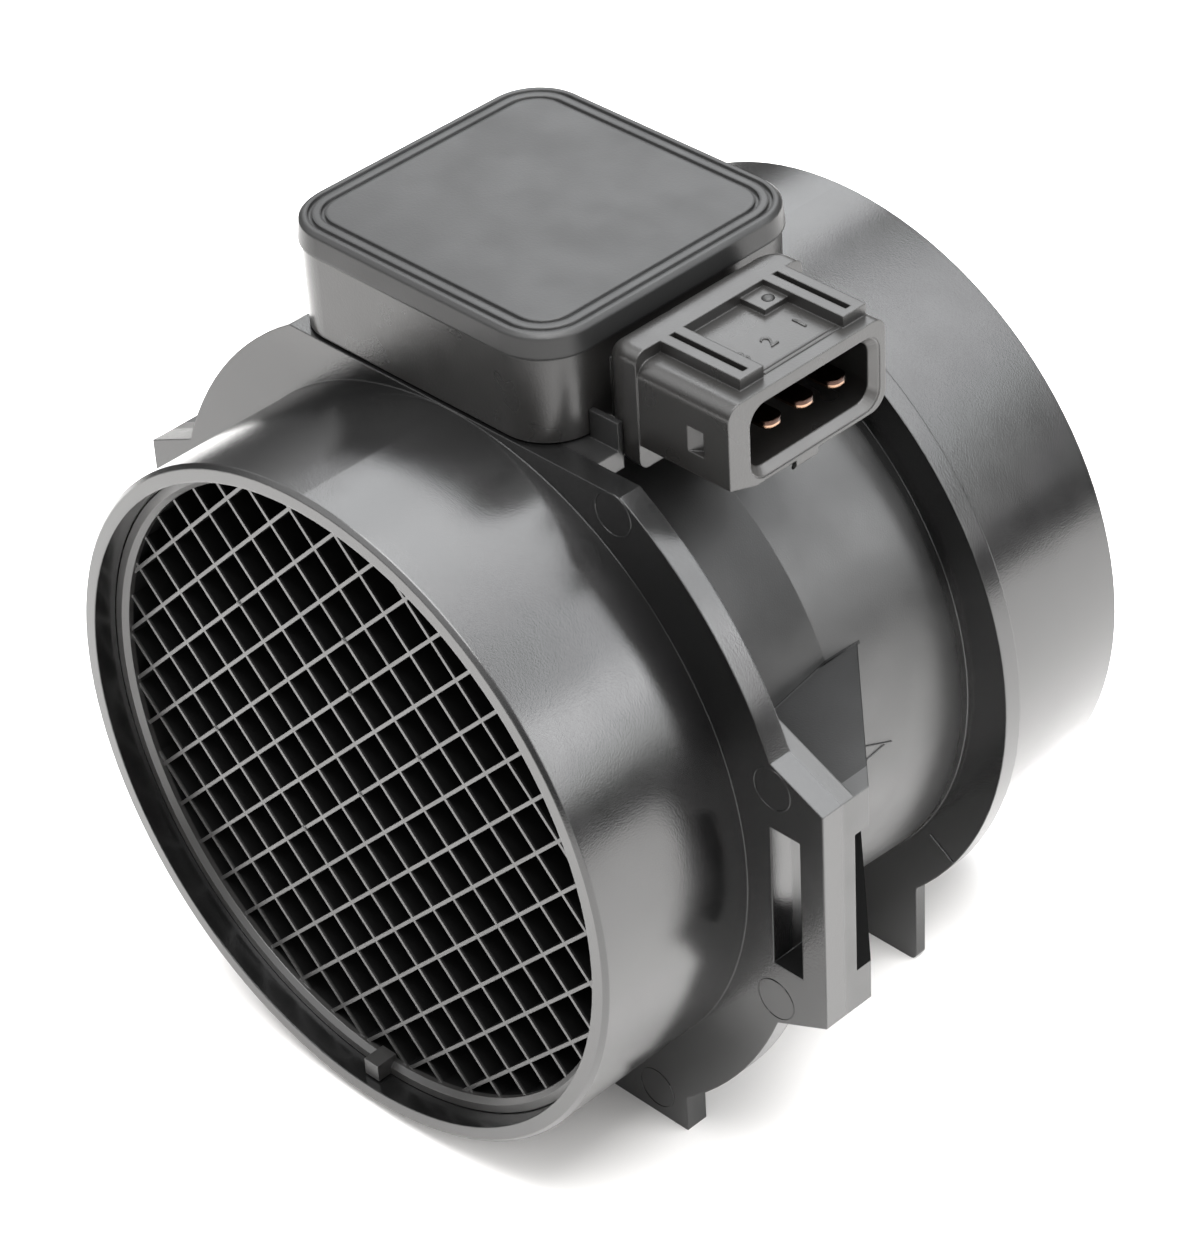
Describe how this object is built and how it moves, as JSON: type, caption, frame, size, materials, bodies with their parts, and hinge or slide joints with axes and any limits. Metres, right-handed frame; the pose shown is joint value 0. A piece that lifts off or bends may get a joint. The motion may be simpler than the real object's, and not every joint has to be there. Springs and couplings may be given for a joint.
{
  "type": "mass airflow sensor",
  "caption": "Round intake duct with spigots, a mounting flange, flow grids and a hanging sensor finger under a lidded module with a side connector.",
  "frame": {"origin": "centre of the inlet end of the duct, where its axis meets the plane of the inlet rim", "axes": "+Y along the duct's axis, the way the air flows; +Z from the axis up to the module and its lid; +X towards the connector"},
  "size_m": [0.109, 0.086, 0.1014],
  "materials": {
    "duct_plastic": "moulded black plastic with a fine grain and broad soft highlights",
    "grid_plastic": "dark grey moulded plastic",
    "housing_plastic": "moulded black plastic, slightly smoother than the duct",
    "lid_plastic": "satin dark grey plastic",
    "seal_rubber": "dark seal",
    "ceramic": "white ceramic",
    "ribbon_copper": "copper leads",
    "probe_glass": "resin coated bead",
    "plate_metal": "plain sheet",
    "chip_resin": "moulded resin",
    "capacitor_body": "ceramic capacitor",
    "contact_gold": "gold plated blades",
    "bridge_metal": "bright strip"
  },
  "bodies": {
    "root": {"duct_body": "duct_plastic", "inlet_grid": "grid_plastic", "outlet_grid": "grid_plastic", "module_housing": "housing_plastic", "module_gasket": "seal_rubber", "lid": "lid_plastic", "lid_seal": "seal_rubber", "sensor_finger": "housing_plastic", "finger_cover": "housing_plastic", "finger_seal": "seal_rubber", "hot_film_element": "ceramic", "signal_ribbon": "ribbon_copper", "air_temperature_probe": "probe_glass", "base_plate": "plate_metal", "circuit_board": "ceramic", "signal_chip": "chip_resin", "capacitors": "capacitor_body", "resistors": "chip_resin", "contact_1": "contact_gold", "contact_2": "contact_gold", "contact_3": "contact_gold", "contact_bridges": "bridge_metal"}
  },
  "joints": []
}
